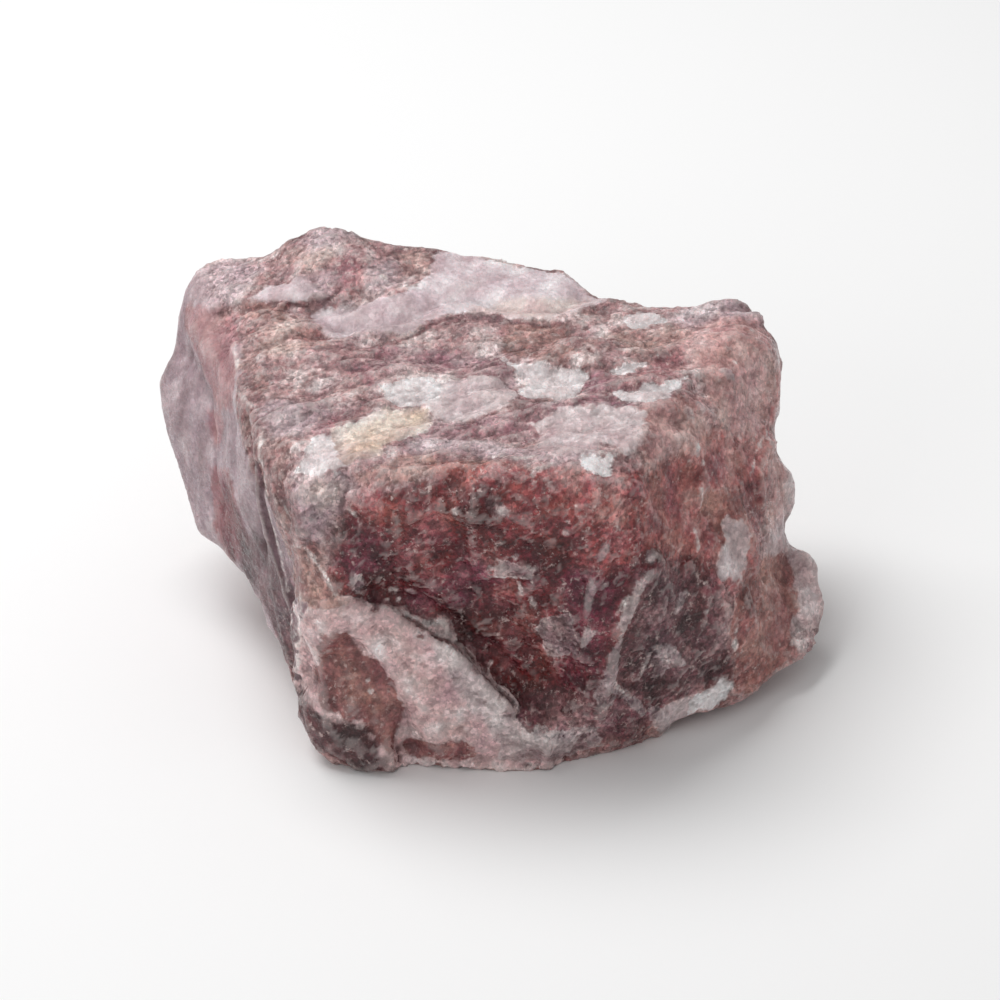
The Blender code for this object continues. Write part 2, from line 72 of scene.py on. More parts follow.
def even_mesh(source, spacing):
    """A copy of a mesh as one closed skin of small, even faces."""
    loose = bmesh.new()
    loose.from_mesh(source)
    bmesh.ops.remove_doubles(loose, verts=loose.verts, dist=MERGE_M)
    merged = bpy.data.meshes.new("skin")
    loose.to_mesh(merged)
    loose.free()
    held = bpy.data.objects.new("held", merged)
    bpy.context.scene.collection.objects.link(held)
    grid = held.modifiers.new("grid", "REMESH")
    grid.mode = "VOXEL"
    grid.voxel_size = spacing
    worn = held.modifiers.new("worn", "SMOOTH")
    worn.factor = 0.5
    worn.iterations = 2
    even = bpy.data.meshes.new_from_object(
        held.evaluated_get(bpy.context.evaluated_depsgraph_get()))
    bpy.data.objects.remove(held)
    return even


def places_and_facings(mesh):
    """Every vertex's place in millimetres, and its normal."""
    where = np.empty(len(mesh.vertices) * 3)
    normals = np.empty(len(mesh.vertices) * 3)
    mesh.vertices.foreach_get("co", where)
    mesh.vertices.foreach_get("normal", normals)
    return where.reshape(-1, 3) / MM, normals.reshape(-1, 3)


def keep(mesh, name, values):
    """Stores one number for every vertex, for the relief and the material to read."""
    layer = mesh.attributes.get(name) or mesh.attributes.new(name, "FLOAT", "POINT")
    layer.data.foreach_set("value", values.astype(np.float32))


def smoothstep(value, low, high):
    """A number that rises smoothly from 0 to 1 while the value goes from low to high."""
    part = np.clip((value - low) / (high - low), 0.0, 1.0)
    return part * part * (3.0 - 2.0 * part)


def tree_of(mesh):
    """A mesh in millimetres, ready for rays to be cast at it and near places to be found on it."""
    return BVHTree.FromPolygons([vertex.co / MM for vertex in mesh.vertices],
                                [tuple(face.vertices) for face in mesh.polygons])


solid_tree = tree_of(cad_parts[STONE].data)
skin = even_mesh(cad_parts[STONE].data, GRID_MM * MM)
skin_tree = tree_of(skin)
places, facings = places_and_facings(skin)
vertex_tree = KDTree(len(places))
for number, place in enumerate(places):
    vertex_tree.insert(place, number)
vertex_tree.balance()

# The view that its markings are placed in: a long lens that looks 30 degrees down on the broad dark
# face, and a square picture. A point of the picture is given across from the left and down.
AIM_MM = Vector((1.54, -6.05, 23.41))
EYE_DISTANCE_MM = 480.0
ELEVATION = math.radians(30.0)
LENS, SENSOR = 144.0, 36.0
PICTURE = 1000  # points on a side of the picture
NEAR_POINTS = 40  # how far off the stone a point may lie
RING_SPOTS = 24  # how many spots are tried on each ring round such a point
TO_EYE = Vector((0.0, -math.cos(ELEVATION), math.sin(ELEVATION)))
UP_THE_PICTURE = Vector((0.0, math.sin(ELEVATION), math.cos(ELEVATION)))


def on_stone(across, down):
    """The place behind a point of the picture, or behind the nearest one that shows the stone."""
    eye = AIM_MM + TO_EYE * EYE_DISTANCE_MM
    for reach in range(NEAR_POINTS):
        for turn in range(RING_SPOTS if reach else 1):
            right = across + reach * math.cos(turn * math.tau / RING_SPOTS) - PICTURE / 2
            up = PICTURE / 2 - down + reach * math.sin(turn * math.tau / RING_SPOTS)
            ray = Vector((right, 0.0, 0.0)) + UP_THE_PICTURE * up - TO_EYE * PICTURE * LENS / SENSOR
            place = solid_tree.ray_cast(eye, ray)[0]
            if place:
                return place
    raise ValueError("no stone near this point of the picture")


# Where its different quartz lies, and where shade and highlights are painted on it, as points of that
# picture: the outlines of its areas, the lines with their half width in millimetres first, and the
# spots with their radius in millimetres first.
AREAS = {
    "plate": [
        [(297, 604), (318, 603), (340, 597), (360, 599), (380, 603), (402, 608), (427, 621),
         (445, 618), (453, 638), (470, 660), (490, 680), (515, 705), (502, 712), (520, 728),
         (540, 738), (572, 742), (562, 764), (520, 769), (480, 770), (440, 762), (405, 765),
         (350, 764), (312, 738), (300, 700), (297, 650)],
    ],
    "beige": [
        [(292, 548), (304, 545), (322, 570), (345, 600), (338, 607), (318, 608), (300, 604),
         (292, 580)],
    ],
    "back_sheet": [
        [(312, 315), (322, 330), (350, 335), (400, 336), (415, 329), (430, 320), (450, 313),
         (482, 310), (500, 314), (510, 319), (540, 320), (560, 315), (580, 307), (602, 302),
         (607, 298), (585, 293), (565, 274), (525, 268), (500, 264), (475, 254), (450, 251),
         (432, 254), (430, 275), (410, 290), (395, 297), (365, 302), (345, 308)],
        [(249, 297), (262, 288), (285, 281), (300, 278), (314, 281), (318, 292), (308, 302),
         (300, 303), (285, 301), (268, 300)],
    ],
    "veil": [
        [(540, 632), (545, 620), (560, 615), (572, 622), (578, 640), (572, 655), (555, 658),
         (545, 650)],
        [(490, 577), (497, 556), (511, 556), (534, 570), (530, 576), (512, 578)],
        [(598, 690), (606, 682), (615, 684), (617, 695), (610, 704), (600, 702)],
        [(485, 503), (495, 499), (505, 503), (507, 512), (496, 517), (487, 513)],
        [(649, 664), (657, 656), (666, 660), (670, 668), (662, 675), (653, 672)],
        [(500, 738), (520, 734), (548, 730), (575, 734), (595, 728), (600, 742), (570, 756),
         (535, 758), (500, 756)],
    ],
    "mauve": [
        [(636, 575), (665, 560), (700, 572), (722, 600), (732, 640), (728, 672), (700, 690),
         (668, 702), (650, 725), (600, 742), (560, 740), (520, 728), (506, 712), (530, 690),
         (570, 690), (604, 670), (618, 640), (628, 605)],
    ],
    "plum": [
        [(346, 512), (372, 525), (392, 552), (380, 572), (352, 578), (342, 560)],
        [(560, 590), (585, 560), (620, 545), (640, 560), (622, 600), (605, 650), (585, 690),
         (560, 680), (575, 640)],
        [(405, 600), (430, 580), (470, 560), (505, 580), (480, 598), (445, 606), (425, 618)],
    ],
    "peach": [
        [(300, 481), (324, 478), (345, 486), (339, 500), (318, 506), (302, 498)],
        [(470, 312), (500, 300), (530, 298), (560, 300), (585, 298), (600, 300), (578, 307),
         (560, 315), (540, 320), (510, 317), (495, 312)],
    ],
    "white": [
        [(296, 472), (304, 455), (312, 438), (320, 433), (336, 432), (347, 444), (352, 456),
         (353, 467), (325, 474), (308, 476)],
        [(385, 385), (400, 378), (430, 375), (441, 385), (435, 400), (420, 405), (400, 407),
         (388, 400)],
        [(500, 357), (520, 362), (540, 365), (560, 365), (572, 367), (590, 371), (580, 385),
         (575, 397), (550, 397), (530, 397), (517, 390), (525, 382), (515, 370)],
        [(615, 370), (625, 363), (640, 361), (648, 363), (635, 370), (622, 375)],
        [(612, 392), (630, 390), (650, 385), (670, 382), (686, 376), (680, 386), (668, 395),
         (655, 400), (635, 402), (618, 398)],
        [(625, 317), (640, 310), (660, 313), (666, 320), (650, 328), (630, 328)],
        [(579, 457), (590, 453), (601, 456), (610, 451), (616, 454), (613, 464), (610, 474),
         (601, 474), (592, 468), (582, 465)],
        [(690, 714), (690, 700), (705, 690), (725, 680), (733, 682), (727, 698), (715, 708),
         (700, 715)],
    ],
    "grey": [
        [(424, 388), (447, 379), (470, 376), (500, 382), (516, 395), (508, 405), (490, 414),
         (470, 420), (450, 422), (432, 415), (422, 402)],
        [(724, 521), (741, 518), (747, 532), (748, 552), (744, 570), (735, 580), (722, 578),
         (715, 566), (717, 552), (725, 540)],
        [(660, 733), (655, 715), (668, 704), (690, 697), (712, 700), (705, 714), (682, 724),
         (666, 733)],
        [(532, 424), (560, 410), (600, 407), (628, 408), (643, 414), (643, 432), (637, 449),
         (625, 452), (610, 444), (595, 449), (575, 454), (550, 455), (532, 450), (545, 436)],
    ],
    "cream": [
        [(327, 432), (350, 422), (370, 413), (386, 407), (400, 408), (420, 406), (433, 414),
         (427, 429), (416, 439), (400, 441), (386, 444), (380, 452), (374, 461), (357, 460),
         (347, 469), (340, 457), (334, 445)],
    ],
    "yellow": [
        [(345, 432), (375, 418), (400, 411), (425, 409), (420, 425), (400, 440), (380, 447),
         (352, 452), (340, 445)],
    ],
    "brown": [
        [(322, 634), (335, 629), (350, 630), (357, 647), (380, 660), (392, 680), (402, 700),
         (403, 725), (392, 748), (377, 742), (362, 722), (340, 717), (322, 707), (317, 680),
         (317, 655)],
        [(402, 742), (420, 736), (450, 738), (475, 745), (478, 755), (450, 758), (420, 756),
         (403, 754)],
    ],
    # Painted light: the same brown quartz, painted lighter where its side lies in shade.
    "russet": [
        [(702, 496), (720, 486), (740, 490), (747, 510), (741, 530), (722, 538), (706, 526)],
        [(735, 590), (745, 570), (765, 556), (785, 550), (793, 568), (795, 592), (793, 620),
         (792, 642), (798, 654), (785, 668), (765, 682), (742, 698), (732, 690), (735, 655),
         (729, 625)],
    ],
    "foot": [
        [(293, 688), (303, 690), (310, 700), (322, 713), (345, 722), (362, 726), (378, 746),
         (392, 755), (396, 768), (375, 772), (350, 767), (335, 761), (320, 749), (305, 730),
         (298, 712)],
    ],
    "front": [
        [(356, 500), (382, 490), (412, 482), (440, 474), (480, 468), (520, 476), (560, 480),
         (600, 484), (640, 470), (670, 455), (700, 456), (720, 470), (712, 500), (706, 530),
         (706, 560), (725, 590), (722, 640), (735, 672), (700, 688), (670, 700), (655, 722),
         (600, 740), (572, 735), (545, 735), (520, 726), (504, 712), (516, 704), (490, 678),
         (470, 658), (452, 640), (446, 621), (425, 622), (400, 610), (380, 604), (348, 598),
         (332, 580), (322, 564), (342, 548), (350, 522)],
    ],
    "dark": [
        [(447, 600), (470, 590), (500, 600), (535, 605), (540, 625), (530, 650), (505, 660),
         (480, 652), (455, 640)],
        [(345, 560), (370, 556), (400, 570), (402, 590), (385, 603), (360, 597), (345, 585)],
        [(640, 600), (665, 590), (690, 610), (715, 640), (715, 670), (690, 690), (660, 700),
         (635, 700), (625, 670)],
    ],
    "red": [
        [(430, 463), (480, 465), (520, 469), (560, 470), (590, 474), (580, 484), (540, 482),
         (480, 479), (440, 480)],
        [(500, 484), (540, 478), (580, 480), (620, 476), (660, 466), (692, 470), (706, 492),
         (702, 530), (684, 552), (655, 548), (630, 562), (608, 574), (585, 562), (565, 541),
         (535, 541), (510, 531), (500, 512)],
        [(352, 500), (372, 494), (405, 500), (420, 515), (400, 524), (370, 520)],
    ],
    "crimson": [
        [(618, 386), (640, 370), (655, 362), (672, 350), (690, 340), (704, 346), (690, 364),
         (668, 378), (640, 384)],
        [(290, 338), (300, 331), (315, 327), (326, 330), (318, 338), (302, 341)],
        [(336, 264), (352, 258), (366, 264), (366, 280), (354, 296), (340, 298), (342, 280)],
        [(386, 300), (400, 290), (414, 296), (404, 306)],
        [(300, 418), (320, 408), (345, 414), (340, 428), (318, 436), (302, 432)],
    ],
    "tan": [
        [(602, 333), (640, 327), (688, 327), (700, 340), (670, 352), (625, 352)],
        [(400, 254), (415, 250), (432, 254), (430, 270), (412, 272), (400, 266)],
        [(242, 335), (262, 318), (300, 318), (330, 345), (300, 352), (262, 355)],
        [(285, 262), (292, 250), (312, 243), (330, 246), (334, 256), (318, 268), (298, 270)],
    ],
    "dusty": [
        [(756, 438), (770, 440), (780, 455), (786, 480), (784, 505), (776, 530), (764, 520),
         (760, 490), (757, 460)],
        [(690, 330), (715, 312), (745, 312), (765, 325), (772, 350), (776, 385), (772, 420),
         (755, 440), (735, 440), (715, 415), (700, 385), (690, 355)],
        [(645, 412), (668, 398), (690, 392), (712, 415), (732, 440), (700, 456), (668, 462),
         (645, 474), (640, 450)],
    ],
    "haze": [
        [(666, 320), (688, 304), (712, 297), (740, 299), (758, 308), (765, 322), (745, 319),
         (715, 319), (690, 327)],
        [(408, 440), (425, 435), (450, 441), (500, 444), (550, 449), (596, 450), (602, 460),
         (560, 463), (520, 459), (470, 453), (430, 453), (405, 450)],
        [(345, 306), (380, 301), (415, 296), (412, 322), (400, 334), (352, 335), (348, 322)],
        [(190, 282), (205, 268), (225, 258), (250, 262), (262, 272), (250, 285), (236, 300),
         (215, 306), (192, 302)],
        [(290, 474), (312, 477), (345, 471), (349, 484), (344, 500), (337, 512), (328, 528),
         (320, 543), (308, 540), (300, 515), (292, 495)],
        [(300, 277), (325, 271), (336, 280), (330, 292), (318, 300), (304, 299)],
        [(300, 243), (320, 228), (340, 226), (362, 232), (352, 240), (330, 244), (310, 252)],
        [(366, 268), (380, 258), (394, 262), (398, 284), (382, 292), (366, 286)],
        [(258, 405), (268, 398), (300, 402), (330, 413), (316, 430), (296, 436), (270, 432),
         (262, 420)],
    ],
    "rust": [
        [(354, 474), (376, 466), (396, 461), (410, 453), (440, 457), (480, 461), (520, 465),
         (560, 466), (588, 470), (580, 480), (540, 478), (480, 473), (440, 475), (412, 481),
         (390, 487), (362, 493)],
        [(508, 322), (540, 325), (566, 322), (572, 334), (560, 345), (578, 352), (570, 361),
         (540, 361), (512, 354), (498, 340)],
        [(238, 306), (262, 303), (288, 306), (286, 318), (262, 320), (240, 318)],
    ],
    "crumbly": [
        [(398, 448), (424, 440), (436, 418), (470, 424), (505, 412), (540, 402), (600, 402),
         (636, 404), (622, 412), (575, 408), (545, 420), (538, 440), (480, 444), (430, 440),
         (412, 452)],
        [(340, 372), (370, 350), (420, 345), (470, 348), (500, 358), (516, 376), (512, 390),
         (480, 376), (440, 374), (400, 374), (372, 384)],
        [(582, 385), (592, 372), (612, 378), (606, 396), (586, 400)],
    ],
    "frosty": [
        [(430, 629), (443, 624), (450, 640), (470, 660), (490, 680), (515, 705), (502, 712),
         (520, 728), (545, 738), (572, 742), (560, 752), (520, 748), (486, 722), (462, 696),
         (444, 664), (432, 642)],
    ],
    "strip": [
        [(236, 394), (239, 374), (240, 345), (242, 330), (252, 325), (262, 345), (268, 385),
         (285, 420), (300, 470), (318, 520), (330, 555), (322, 575), (300, 548), (290, 560),
         (283, 540), (272, 510), (262, 488), (254, 476), (246, 456), (241, 432), (236, 410)],
    ],
    "shade": [
        [(240, 540), (254, 532), (266, 540), (278, 560), (286, 580), (296, 600), (300, 640),
         (298, 690), (303, 722), (298, 712), (291, 690), (283, 660), (274, 630), (264, 605),
         (252, 588), (240, 570)],
        [(253, 458), (258, 464), (264, 492), (270, 520), (278, 548), (272, 556), (264, 530),
         (257, 500)],
    ],
    "rosy": [
        [(640, 490), (665, 462), (690, 450), (715, 425), (745, 440), (768, 420), (774, 380),
         (784, 350), (790, 400), (776, 440), (766, 470), (762, 520), (752, 600), (728, 592),
         (712, 560), (690, 556), (664, 548), (645, 525)],
    ],
    "blush": [
        [(186, 303), (205, 305), (225, 310), (235, 325), (237, 345), (237, 380), (234, 408),
         (220, 410), (213, 398), (205, 375), (195, 350), (186, 330)],
        [(209, 412), (220, 408), (224, 425), (220, 446), (214, 448), (209, 430)],
        [(212, 470), (228, 468), (236, 490), (240, 530), (236, 560), (224, 560), (218, 530),
         (213, 500)],
    ],
    "dusk": [
        [(222, 480), (232, 484), (240, 510), (248, 540), (246, 562), (232, 560), (222, 540),
         (220, 505)],
    ],
}
LINES = {
    # The bright lines are pale splinter edges, with painted highlight where the ridges and the plate's
    # rim face the light.
    "bright": [
        (0.17, [(235, 342), (237, 365), (235, 388)]),
        (0.16, [(236, 390), (243, 398), (252, 405), (262, 413)]),
        (0.28, [(266, 416), (261, 432), (262, 465), (266, 490), (267, 505), (277, 540), (285, 570),
            (288, 592)]),
        (0.16, [(282, 502), (292, 522), (290, 535)]),
        (0.22, [(300, 592), (302, 610), (299, 642), (299, 672)]),
        (0.2, [(347, 502), (354, 512), (360, 523)]),
        (0.16, [(303, 543), (322, 570), (341, 600)]),
        (0.3, [(518, 579), (522, 596)]),
        (0.22, [(530, 595), (535, 610)]),
        (0.16, [(631, 594), (622, 606), (615, 617)]),
        (0.3, [(645, 561), (657, 554)]),
        (0.22, [(615, 685), (630, 697)]),
        (0.26, [(650, 655), (643, 668), (637, 678)]),
        (0.22, [(695, 530), (697, 552)]),
        (0.14, [(702, 480), (701, 495), (700, 507)]),
        (0.18, [(765, 432), (756, 450), (751, 475), (757, 492)]),
        (0.34, [(364, 604), (380, 607), (400, 612), (425, 625), (443, 622), (450, 640), (470, 660),
            (490, 680), (514, 704)]),
        (0.16, [(530, 480), (534, 470), (552, 464)]),
        (0.14, [(532, 462), (555, 458)]),
        (0.26, [(488, 457), (515, 458), (540, 456)]),
        (0.16, [(497, 556), (512, 557), (534, 570)]),
        (0.16, [(490, 577), (512, 578), (531, 575)]),
    ],
    "pale": [
        (0.62, [(593, 582), (588, 608)]),
        (0.4, [(590, 630), (582, 648)]),
        (0.34, [(610, 541), (604, 552), (599, 560)]),
        (0.42, [(650, 572), (643, 581), (636, 596)]),
        (0.62, [(637, 592), (628, 614), (620, 638)]),
        (0.72, [(621, 640), (613, 660), (612, 684), (620, 694)]),
        (0.5, [(620, 690), (632, 702), (646, 716)]),
        (0.45, [(687, 590), (677, 610)]),
        (0.7, [(655, 648), (668, 652), (682, 664)]),
        (0.8, [(648, 704), (656, 716), (667, 729)]),
        (0.7, [(535, 735), (560, 738), (590, 728)]),
        (0.5, [(765, 432), (772, 448)]),
    ],
    # Painted shadow: the ledge lines darken the foot of each ledge where its shade falls, partly the
    # dark red of the ledge faces.
    "ledge": [
        (0.35, [(352, 599), (372, 600), (402, 606), (428, 618), (447, 615), (456, 634), (477, 654),
            (496, 672), (518, 699)]),
        (0.26, [(268, 302), (290, 305), (308, 306)]),
        (0.28, [(318, 306), (330, 298), (342, 285)]),
        (0.22, [(315, 336), (330, 338), (360, 341)]),
        (0.24, [(396, 342), (418, 334), (433, 323), (455, 315)]),
        (0.24, [(512, 323), (542, 326), (562, 321)]),
    ],
    # Painted shade: the groove between the left end and the strip is painted dark where shade falls in
    # it.
    "groove": [
        (0.5, [(251, 450), (255, 466), (260, 484), (263, 506), (272, 545), (281, 575)]),
    ],
}
SPOTS = {
    "bright": [
        (0.45, (500, 510)), (0.4, (567, 522)), (0.4, (565, 532)), (0.55, (735, 645)),
        (0.3, (707, 612)), (0.3, (703, 463)), (0.4, (697, 448)), (0.5, (382, 278)),
        (0.3, (720, 333)), (0.35, (752, 331)), (0.5, (394, 588)), (0.35, (360, 578)),
        (0.4, (456, 512)), (0.2, (371, 690)), (0.2, (368, 680)), (0.15, (376, 695)),
        (0.3, (602, 452)), (0.3, (690, 412)), (0.3, (735, 363)), (0.28, (736, 630)),
        (0.3, (722, 605)), (0.25, (760, 610)), (0.22, (746, 600)),
    ],
    "pale": [
        (0.5, (304, 490)), (0.6, (318, 500)), (0.45, (311, 516)), (0.5, (329, 491)),
        (0.4, (322, 478)), (0.9, (728, 374)), (0.7, (688, 413)), (0.6, (700, 406)),
        (0.45, (504, 512)), (0.7, (650, 555)), (0.7, (412, 590)), (0.8, (358, 583)),
        (0.7, (697, 450)),
    ],
}

FAR_MM = 12.0  # what a vertex keeps that is nowhere near an outline or a line
FACING_LEAST = 0.05  # how squarely a vertex has to face an outline to be marked by it
OFF_PLANE_MM = 2.5  # how far off an outline's plane a vertex may lie to be marked by it
OFF_PLANE_PART = 0.45  # and how much farther, as a part of the outline's reach
LINE_REACH_MM = 1.6  # how far from a line its depth is worked out
KNOT_MM = 0.6 * GRID_MM  # about how far apart the knots of a line are
TAPER = 0.8  # how much thinner a line is at its ends


def depth_in(outline):
    """How far inside an outline each vertex lies, in its plane, in millimetres: less than 0 outside."""
    corners = np.array([on_stone(*point) for point in outline])
    middle = corners.mean(axis=0)
    after = np.roll(corners, -1, axis=0)
    square = np.cross(corners - middle, after - middle).sum(axis=0)
    square /= np.linalg.norm(square)
    spread = np.linalg.norm(corners - middle, axis=1).max()
    away = places - middle
    near = np.linalg.norm(away, axis=1) < spread + FAR_MM
    if (facings[near] @ square).sum() < 0.0:
        square = -square
    near &= facings @ square > FACING_LEAST
    near &= np.abs(away @ square) < OFF_PLANE_MM + OFF_PLANE_PART * spread
    right = corners[0] - middle
    right -= (right @ square) * square
    right /= np.linalg.norm(right)
    up = np.cross(square, right)
    # In its plane a place is one complex number. The outline turns right round what is inside it.
    spot = (away[near] @ right + 1j * (away[near] @ up))[:, None]
    start = ((corners - middle) @ right + 1j * ((corners - middle) @ up))[None, :]
    run = np.roll(start, -1, axis=1) - start
    along = np.clip(((spot - start) * run.conj()).real / np.abs(run) ** 2, 0.0, 1.0)
    gap = np.abs(spot - start - along * run).min(axis=1)
    turn = np.angle((start + run - spot) / (start - spot)).sum(axis=1)
    depth = np.full(len(places), -FAR_MM)
    depth[near] = np.where(np.abs(turn) > math.pi, gap, -gap)
    return depth


def depth_along(rows):
    """The same for lines, each given as its half width and its path, which is laid on the surface."""
    depth = np.full(len(places), -FAR_MM)
    for half_width, points in rows:
        path = [on_stone(*point) for point in points]
        knots = path[:1]
        for start, end in zip(path, path[1:]):
            run = end - start
            steps = max(1, round(run.length / KNOT_MM))
            knots += [start + run * (step / steps) for step in range(1, steps + 1)]
        for number, knot in enumerate(knots):
            spot = skin_tree.find_nearest(knot)[0]
            part = 2.0 * (number + 0.5) / len(knots) - 1.0  # from -1 at one end to 1 at the other
            here = half_width * (1.0 - TAPER * part * part)
            for _, vertex, gap in vertex_tree.find_range(spot, LINE_REACH_MM + here):
                depth[vertex] = max(depth[vertex], here - gap)
    return depth


marks = {}
for name, outlines in AREAS.items():
    marks[name] = np.max([depth_in(outline) for outline in outlines], axis=0)
for name, rows in LINES.items():
    spots = [(radius, [point]) for radius, point in SPOTS.get(name, [])]
    marks["line_" + name] = depth_along(rows + spots)

# Every border is ragged, and what stands proud or lies sunk breaks off along the same ragged line.
TOOTH_MM = 1.7  # how wide the teeth of a border are
TOOTH_NOISE = (0.8, 2.0, 3)  # how soft, how much finer each layer of it is, and how many layers
RAGGED_MM = 0.7  # how far the teeth reach
TORN_MM = 1.2  # and how far where the quartz is torn
TORN = ("plate", "front", "crumbly")
teeth = np.array([noise.fractal(Vector(place) / TOOTH_MM, *TOOTH_NOISE) for place in places])
for name in AREAS:
    marks[name] += (TORN_MM if name in TORN else RAGGED_MM) * teeth

# The left end and the two right lobes broke smooth, and are painted paler where the light passes
# through them.
LEFT_END_MM = 28.5  # how far left of the origin the end starts
LEFT_END_SLANT = 0.28  # and how much farther left for each millimetre back
LOBES_MM = 34.5  # how far right of the origin the lobes start, at the height that comes next
LOBES_HEIGHT_MM = 20.0
LOBES_SLANT = 0.12  # and how much farther right for each millimetre up
LOBES_LOWEST_MM = 7.0
marks["left_end"] = -(places[:, 0] + LEFT_END_SLANT * places[:, 1]) - LEFT_END_MM
marks["lobes"] = np.minimum(
    places[:, 0] - LOBES_SLANT * (places[:, 2] - LOBES_HEIGHT_MM) - LOBES_MM,
    places[:, 2] - LOBES_LOWEST_MM)

# Its far side broke like the front, and pale lenses of clear quartz cross it.
FLANK_FACING = 0.4  # how far up a flank faces at its border
FLANK_MM = 4.0  # how deep inside it a place is that faces 1 less than that
BEHIND = (0.0, 0.87, -0.5)  # the way the far side faces
BEHIND_FACING = 0.15  # how squarely a place faces that way where the lenses begin
BEHIND_MM = 5.0  # how deep inside a place is that faces 1 more than that
LENS_MM = 11.0  # how far apart the lenses lie
LENS_FLATTER = (1.0, 1.0, 1.6)  # how much closer they lie from side to side, back and up
LENS_LEVEL = 0.27  # the noise above which there is a lens
lens_noise = np.array([noise.noise(Vector(place * LENS_FLATTER) / LENS_MM) for place in places])
marks["flanks"] = FLANK_MM * (FLANK_FACING - facings[:, 2])
marks["lens"] = np.minimum(LENS_MM * (lens_noise - LENS_LEVEL),
                           BEHIND_MM * (facings @ BEHIND - BEHIND_FACING))
for name in ("left_end", "lobes", "flanks", "lens"):
    marks[name] = np.clip(marks[name], -FAR_MM, FAR_MM)
for name, depth in marks.items():
    keep(skin, name, depth)

# How smooth each part broke, where 1 is smoothest, and the depths inside it, in millimetres, at
# which that starts and is full. The splinters of the strip take most of it back.
SMOOTH_BREAKS = {
    "left_end": (1.0, -1.0, 1.5), "back_sheet": (1.0, -0.3, 0.5), "lobes": (0.7, -2.0, 1.0),
    "brown": (0.35, -0.5, 1.0), "russet": (0.35, -0.5, 1.0), "rosy": (0.5, -0.5, 1.5),
    "dusty": (0.5, -0.5, 1.5), "white": (0.8, -0.2, 0.4), "grey": (0.75, -0.4, 0.4),
    "cream": (0.6, -0.2, 0.4), "plate": (0.5, -0.2, 0.4), "lens": (0.5, -0.2, 0.4),
}
STRIP_BREAK = (0.8, -0.4, 0.4)


def smoothed(name, share, low, high):
    """How smooth one part broke at each vertex."""
    return share * smoothstep(marks[name], low, high)


smooth = np.maximum.reduce([smoothed(name, *row) for name, row in SMOOTH_BREAKS.items()])
smooth *= 1.0 - smoothed("strip", *STRIP_BREAK)
keep(skin, "smooth", smooth)

# What stands proud or lies sunk at its own edge, in millimetres, and where its step starts and ends.
STEPS_MM = {
    "plate": 0.25, "lens": -0.15, "white": -0.18, "cream": -0.2, "grey": 0.1, "line_bright": 0.08,
    "line_pale": 0.2, "line_groove": -0.25, "line_ledge": -0.2,
}
STEP_BORDER_MM = (-0.45, 0.1)
keep(skin, "step", sum(height * smoothstep(marks[name], *STEP_BORDER_MM)
                       for name, height in STEPS_MM.items()))

stone = bpy.data.objects.new("quartz_specimen", skin)
bpy.context.scene.collection.objects.link(stone)

# Its relief: ledges a few millimetres long where the sheets end, facets of single grains, and the
# grain itself, which is drawn coarser than the finest of it is, because the mesh carries no finer.
RELIEF_INPUTS = {  # in millimetres, apart from the squash and the tilt
    "Ledge length": 4.5, "Ledge squash": 1.2, "Ledge rise": 0.08, "Facet size": 1.7,
    "Facet tilt": 0.2, "Facet height": 0.15, "Grain size": 0.8, "Grain height": 0.14,
}
LEDGES = 9.0  # how many ledges the whole range of their noise is cut into
RISER = (0.35, 0.65)  # the part of each ledge over which it rises to the next
ROUGH_KEPT = 0.15  # how much of its roughness the smoothest break keeps
relief = bpy.data.node_groups.new("broken_sheets_and_grains", "GeometryNodeTree")
relief.interface.new_socket("Geometry", in_out="INPUT", socket_type="NodeSocketGeometry")
for name in RELIEF_INPUTS:
    relief.interface.new_socket(name, in_out="INPUT", socket_type="NodeSocketFloat")
relief.interface.new_socket("Quartz", in_out="INPUT", socket_type="NodeSocketMaterial")
relief.interface.new_socket("Geometry", in_out="OUTPUT", socket_type="NodeSocketGeometry")
given = add(relief, "NodeGroupInput").outputs
point = add(relief, "ShaderNodeVectorMath", {
    0: add(relief, "GeometryNodeInputPosition").outputs[0], "Scale": 1.0 / MM},
    operation="SCALE").outputs[0]
per_mm = {
    name: add(relief, "ShaderNodeMath", {0: 1.0, 1: given[name]}, operation="DIVIDE").outputs[0]
    for name in ("Ledge length", "Facet size", "Grain size")}
over_sheets = add(relief, "ShaderNodeVectorMath", {0: point, 1: SHEET_NORMAL},
                  operation="DOT_PRODUCT").outputs["Value"]
stretch = add(relief, "ShaderNodeMath", {0: over_sheets, 1: given["Ledge squash"]},
              operation="MULTIPLY").outputs[0]
squashed = add(relief, "ShaderNodeVectorMath", {
    0: add(relief, "ShaderNodeVectorMath", {0: SHEET_NORMAL, "Scale": stretch},
           operation="SCALE").outputs[0], 1: point}, operation="ADD").outputs[0]
ledges = add(relief, "ShaderNodeTexNoise", {
    "Vector": squashed, "Detail": 1.0, "Scale": per_mm["Ledge length"]}).outputs[0]
level = add(relief, "ShaderNodeMath", {0: ledges, 1: LEDGES}, operation="MULTIPLY").outputs[0]
tread = add(relief, "ShaderNodeMath", {0: level}, operation="FLOOR").outputs[0]
riser = add(relief, "ShaderNodeMapRange", {
    "Value": add(relief, "ShaderNodeMath", {0: level}, operation="FRACT").outputs[0],
    "From Min": RISER[0], "From Max": RISER[1]}, interpolation_type="SMOOTHSTEP").outputs[0]
rise = add(relief, "ShaderNodeMath", {
    0: add(relief, "ShaderNodeMath", {0: tread, 1: riser}, operation="ADD").outputs[0],
    1: LEDGES / 2.0}, operation="SUBTRACT").outputs[0]
ledge_push = add(relief, "ShaderNodeMath", {0: rise, 1: given["Ledge rise"]},
                 operation="MULTIPLY").outputs[0]
facet = add(relief, "ShaderNodeTexVoronoi", {"Vector": point, "Scale": per_mm["Facet size"]})
facet_lean = add(relief, "ShaderNodeVectorMath", {0: facet.outputs["Color"], 1: (0.5, 0.5, 0.5)},
                 operation="SUBTRACT").outputs[0]
from_middle = add(relief, "ShaderNodeVectorMath", {0: point, 1: facet.outputs["Position"]},
                  operation="SUBTRACT").outputs[0]
